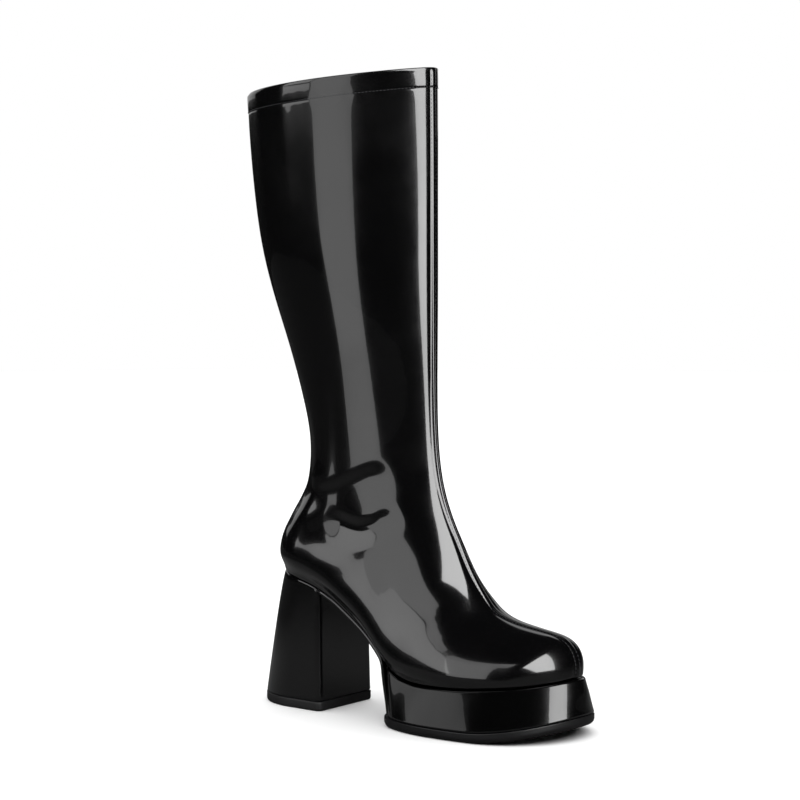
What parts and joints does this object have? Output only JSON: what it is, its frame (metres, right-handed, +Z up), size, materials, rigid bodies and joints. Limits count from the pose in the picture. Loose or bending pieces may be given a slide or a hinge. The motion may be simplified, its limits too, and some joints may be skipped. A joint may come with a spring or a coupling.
{
  "type": "knee-high platform boot",
  "caption": "Knee-high glossy black platform boot with a raised front centre seam, flared block heel and covered forefoot platform",
  "frame": {"origin": "middle of the heel's ground face", "axes": "+X towards the toe, +Y towards the inner (medial) side of this right boot, +Z up the shaft"},
  "size_m": [0.2677, 0.1012, 0.4355],
  "materials": {
    "patent_upper": "high-gloss patent coating",
    "patent_platform": "high-gloss patent coating",
    "patent_heel": "high-gloss patent coating",
    "insole": "matt lining cloth over foam",
    "outsole": "satin moulded rubber",
    "top_piece": "satin moulded rubber"
  },
  "bodies": {
    "root": {"upper": "patent_upper", "insole": "insole", "platform": "patent_platform", "outsole": "outsole", "heel": "patent_heel", "heel_top_piece": "top_piece"}
  },
  "joints": []
}
